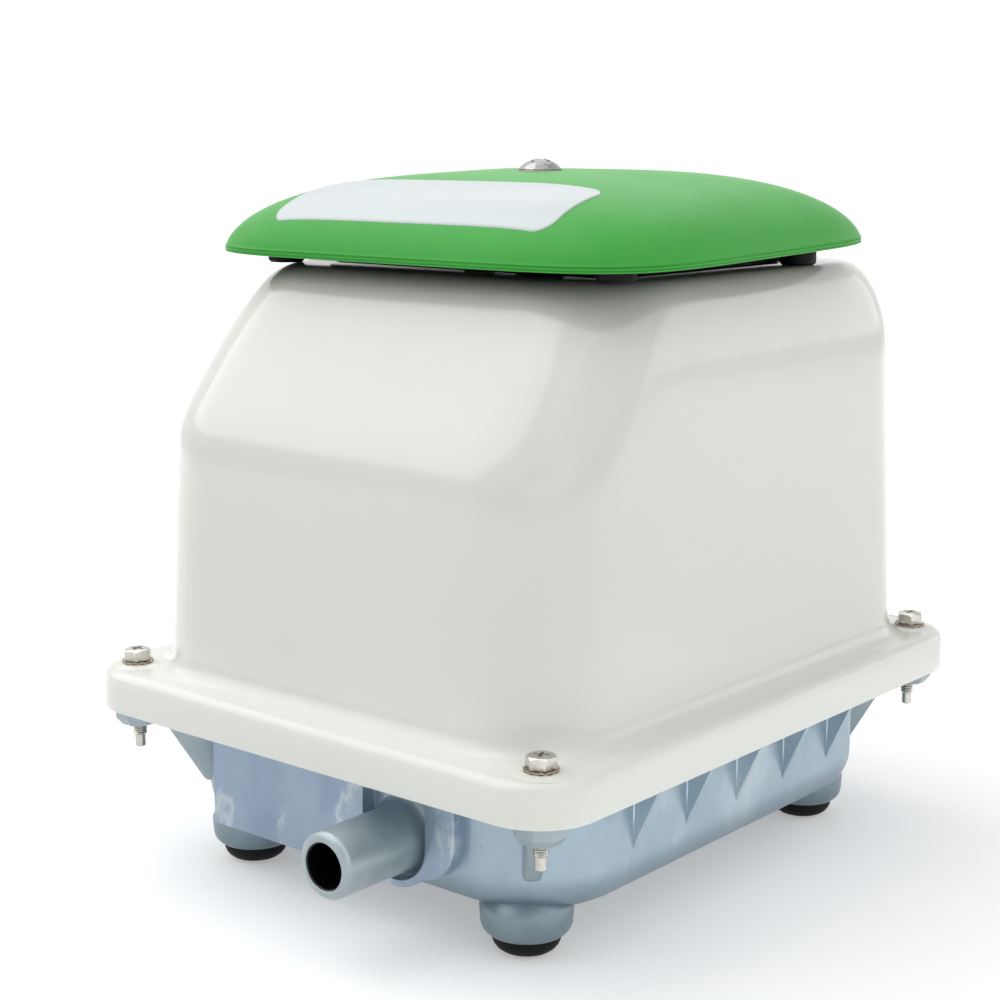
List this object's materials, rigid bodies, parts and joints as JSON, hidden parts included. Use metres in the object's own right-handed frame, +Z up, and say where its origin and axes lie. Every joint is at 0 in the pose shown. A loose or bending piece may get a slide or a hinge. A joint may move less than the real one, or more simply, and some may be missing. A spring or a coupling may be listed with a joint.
{
  "type": "linear air pump",
  "caption": "Linear diaphragm air pump on rubber feet, with a cast tank base, side outlet pipe, sloped white housing and screwed green filter cover.",
  "frame": {"origin": "centre of the whole pump's box, on the surface it stands on", "axes": "+Z up, -Y towards the outlet pipe (the front), +X to the right seen from the front"},
  "size_m": [0.174, 0.2176, 0.2033],
  "materials": {
    "tank_paint": "blue-grey silver paint on a casting, slightly rough",
    "white_paint": "glossy warm white enamel",
    "green_plastic": "satin moulded plastic, mid green",
    "black_rubber": "matt black rubber",
    "black_plastic": "moulded black plastic",
    "cream_plastic": "moulded cream plastic",
    "red_plastic": "moulded red plastic",
    "stainless": "bright nickel-like stainless",
    "zinc_steel": "zinc-plated steel",
    "washer_steel": "dull plated steel",
    "dark_chrome": "polished dark chrome",
    "die_cast": "plain die-cast aluminium",
    "core_steel": "stacked steel sheets, dark varnish",
    "magnet": "sintered magnet",
    "copper_wire": "enamelled copper winding",
    "filter_foam": "open-cell filter foam",
    "label_film": "pale silver film, plain",
    "flap_rubber": "brown valve rubber",
    "wire_jacket": "blue insulated wire"
  },
  "bodies": {
    "base": {"tank_base": "tank_paint", "tank_legs": "tank_paint", "tank_flange": "tank_paint", "tank_brackets": "tank_paint", "outlet_stub": "tank_paint", "rubber_feet": "black_rubber", "tank_gasket": "black_rubber", "tank_lid": "die_cast", "tank_lid_screws": "zinc_steel", "housing": "white_paint", "housing_gasket": "black_rubber", "housing_bolts": "stainless", "tooth_washers": "washer_steel", "cord_gland": "black_plastic", "filter_element": "filter_foam", "pump_frame": "zinc_steel", "rubber_mounts": "black_rubber", "mount_studs": "zinc_steel", "core_left": "core_steel", "core_right": "core_steel", "bobbin_left": "cream_plastic", "bobbin_right": "cream_plastic", "coil_left": "copper_wire", "coil_right": "copper_wire", "core_spacers": "zinc_steel", "core_bolts": "zinc_steel", "diaphragm_front": "black_rubber", "diaphragm_rear": "black_rubber", "case_front": "die_cast", "case_rear": "die_cast", "valve_box_front": "die_cast", "valve_box_rear": "die_cast", "head_cover_front": "die_cast", "head_cover_rear": "die_cast", "head_screws": "zinc_steel", "tie_bolts": "zinc_steel", "hose_front": "black_rubber", "hose_rear": "black_rubber", "hose_clips": "zinc_steel", "safety_switch": "cream_plastic", "terminal_block": "cream_plastic", "coil_leads": "wire_jacket"},
    "rod": {"magnet_rod": "black_plastic", "rod_magnets": "magnet", "clamp_discs": "zinc_steel", "rod_nuts": "zinc_steel"},
    "intake_valve_front": {"intake_flap_front": "flap_rubber"},
    "exhaust_valve_front": {"exhaust_flap_front": "flap_rubber"},
    "intake_valve_rear": {"intake_flap_rear": "flap_rubber"},
    "exhaust_valve_rear": {"exhaust_flap_rear": "flap_rubber"},
    "lever": {"switch_lever": "red_plastic"},
    "cover": {"filter_cover": "green_plastic", "cover_pads": "black_rubber", "label_plate": "label_film", "screw_washer": "washer_steel"},
    "screw": {"cover_screw": "dark_chrome"}
  },
  "joints": [
    {"name": "rod_stroke", "type": "slide", "parent": "base", "child": "rod", "axis": [0, 1, 0], "range_m": [-0.002, 0.002], "stiffness_N_per_m": 3000, "deforming": ["diaphragm_front", "diaphragm_rear"]},
    {"name": "intake_front_open", "type": "hinge", "parent": "base", "child": "intake_valve_front", "pos_m": [0, -0.04985, 0.118], "axis": [1, 0, 0], "range_deg": [0, 8], "stiffness_Nm_per_rad": 0.002},
    {"name": "exhaust_front_open", "type": "hinge", "parent": "base", "child": "exhaust_valve_front", "pos_m": [0, -0.05355, 0.118], "axis": [-1, 0, 0], "range_deg": [0, 8], "stiffness_Nm_per_rad": 0.002},
    {"name": "intake_rear_open", "type": "hinge", "parent": "base", "child": "intake_valve_rear", "pos_m": [0, 0.06085, 0.118], "axis": [-1, 0, 0], "range_deg": [0, 8], "stiffness_Nm_per_rad": 0.002},
    {"name": "exhaust_rear_open", "type": "hinge", "parent": "base", "child": "exhaust_valve_rear", "pos_m": [0, 0.06455, 0.118], "axis": [1, 0, 0], "range_deg": [0, 8], "stiffness_Nm_per_rad": 0.002},
    {"name": "safety_lever_tilt", "type": "hinge", "parent": "base", "child": "lever", "pos_m": [0, 0.029, 0.128], "axis": [1, 0, 0], "range_deg": [-5, 5], "stiffness_Nm_per_rad": 0.01},
    {"name": "filter_cover_lift", "type": "slide", "parent": "base", "child": "cover", "axis": [0, 0, 1], "range_m": [0, 0.05]},
    {"name": "cover_screw_turn", "type": "hinge", "parent": "cover", "child": "screw", "pos_m": [0, 0.0055, 0.2], "axis": [0, 0, 1], "continuous": true}
  ]
}
